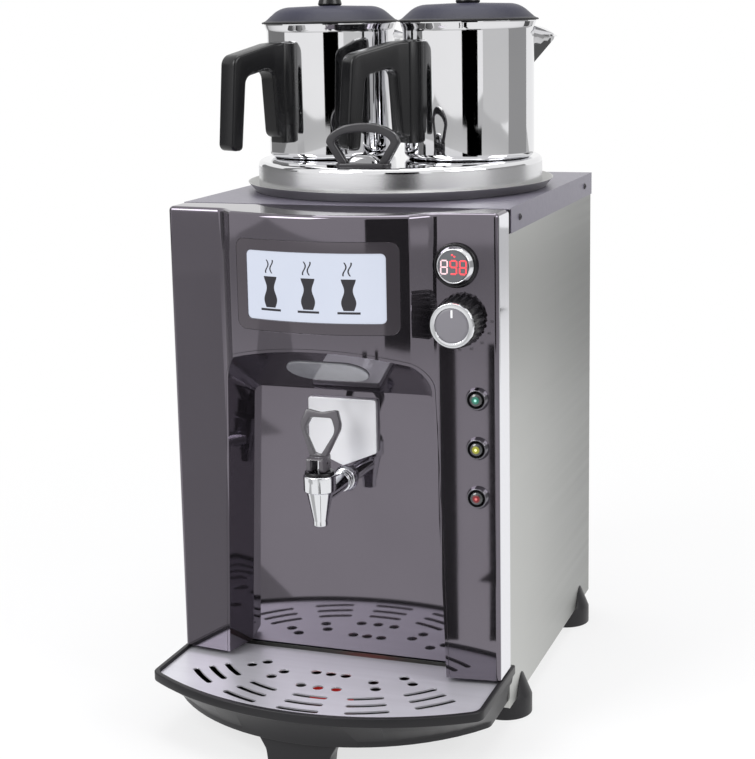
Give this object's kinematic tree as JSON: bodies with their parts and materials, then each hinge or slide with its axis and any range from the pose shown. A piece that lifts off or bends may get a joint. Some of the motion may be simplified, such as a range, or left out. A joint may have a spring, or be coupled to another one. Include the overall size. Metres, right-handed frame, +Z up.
{
  "type": "electric tea urn",
  "caption": "Electric tea urn: steel casing with a bowed front, lit sign, niche with lever tap over a drip tray, thermostat knob, heated tank and lidded teapots on its lid.",
  "frame": {"origin": "middle of the bounding box at floor level, under the feet", "axes": "+Z up, -Y towards the person using the tap, +X to that person's right"},
  "size_m": [0.359, 0.5454, 0.7501],
  "materials": {
    "front_moulding": "high gloss",
    "cover_paint": "satin",
    "side_steel": "brushed",
    "inner_steel": "mill",
    "mirror_steel": "polished",
    "chrome": "polished",
    "zinc": "plated",
    "screw_black": "blackened",
    "foot_rubber": "matte",
    "tray_plastic": "semi-gloss",
    "black_plastic": "semi-gloss",
    "grey_plastic": "semi-gloss",
    "navy_plastic": "gloss",
    "sign_diffuser": "lit",
    "circuit": "matte",
    "lamp_glass": "clear",
    "display_face": "gloss",
    "green_lens": "translucent",
    "amber_lens": "translucent",
    "red_lens": "translucent",
    "float_red": "satin",
    "wool": "matte",
    "silicone": "matte",
    "ceramic": "matte"
  },
  "bodies": {
    "casing": {"base_plate": "inner_steel", "left_side_panel": "side_steel", "right_side_panel": "side_steel", "back_panel": "side_steel", "top_cover": "cover_paint", "case_screws": "screw_black", "front_left_foot": "foot_rubber", "front_right_foot": "foot_rubber", "rear_left_foot": "foot_rubber", "rear_right_foot": "foot_rubber", "front_panel": "front_moulding", "niche_liner": "front_moulding", "niche_lamp": "lamp_glass", "sign_frame": "front_moulding", "sign_window": "sign_diffuser", "sign_light_board": "circuit", "display_bezel": "black_plastic", "display_ring": "chrome", "display_module": "display_face", "lamp_bezels": "chrome", "green_lamp": "green_lens", "amber_lamp": "amber_lens", "red_lamp": "red_lens", "thermostat_body": "black_plastic", "tap_shield": "chrome", "tap_body": "chrome", "tap_rosette": "chrome", "tap_nut": "zinc", "tap_bonnet": "black_plastic", "tank": "inner_steel", "tank_jacket": "wool", "tank_stand": "inner_steel", "heating_element": "inner_steel", "safety_cutout": "black_plastic", "level_probe": "ceramic", "feed_pipe": "silicone", "terminal_block": "ceramic", "cable_gland": "black_plastic"},
    "knob": {"thermostat_shaft": "inner_steel", "control_knob": "black_plastic", "knob_ring": "chrome", "knob_cap": "grey_plastic"},
    "stem": {"tap_stem": "chrome", "tap_seat_cup": "silicone", "tap_lever_pin": "chrome"},
    "lever": {"tap_lever": "grey_plastic"},
    "tray": {"drip_tray": "tray_plastic", "drip_grid": "side_steel"},
    "float": {"level_float": "float_red"},
    "lid": {"tank_lid": "mirror_steel", "lid_handle": "black_plastic", "handle_dish": "chrome"},
    "left_teapot": {"left_pot": "mirror_steel", "left_pot_handle": "black_plastic"},
    "left_teapot_lid": {"left_pot_lid": "navy_plastic", "left_pot_knob": "black_plastic"},
    "right_teapot": {"right_pot": "mirror_steel", "right_pot_handle": "black_plastic"},
    "right_teapot_lid": {"right_pot_lid": "navy_plastic", "right_pot_knob": "black_plastic"}
  },
  "joints": [
    {"name": "knob_turn", "type": "hinge", "parent": "casing", "child": "knob", "pos_m": [0.1345, -0.16525, 0.424], "axis": [0, 1, 0], "range_deg": [0, 270]},
    {"name": "stem_lift", "type": "slide", "parent": "casing", "child": "stem", "axis": [0, 0, 1], "range_m": [0, 0.00501]},
    {"name": "lever_pull", "type": "hinge", "parent": "stem", "child": "lever", "pos_m": [0, -0.18225, 0.2838], "axis": [1, 0, 0], "range_deg": [0, 50], "stiffness_Nm_per_rad": 0.2, "springref_deg": -17.19},
    {"name": "tray_slide", "type": "slide", "parent": "casing", "child": "tray", "axis": [0, -1, 0], "range_m": [0, 0.2]},
    {"name": "float_rise", "type": "slide", "parent": "tray", "child": "float", "axis": [0, 0, 1], "range_m": [0, 0.008]},
    {"name": "lid_lift", "type": "slide", "parent": "casing", "child": "lid", "axis": [0, 0, 1], "range_m": [0, 0.12]},
    {"name": "left_teapot_lift", "type": "slide", "parent": "lid", "child": "left_teapot", "axis": [0, 0, 1], "range_m": [0, 0.15]},
    {"name": "left_teapot_lid_lift", "type": "slide", "parent": "left_teapot", "child": "left_teapot_lid", "axis": [0, 0, 1], "range_m": [0, 0.08]},
    {"name": "right_teapot_lift", "type": "slide", "parent": "lid", "child": "right_teapot", "axis": [0, 0, 1], "range_m": [0, 0.15]},
    {"name": "right_teapot_lid_lift", "type": "slide", "parent": "right_teapot", "child": "right_teapot_lid", "axis": [0, 0, 1], "range_m": [0, 0.08]}
  ],
  "couplings": [
    {"joint": "stem_lift", "follows": "lever_pull", "m_per_rad": 0.0057296}
  ]
}
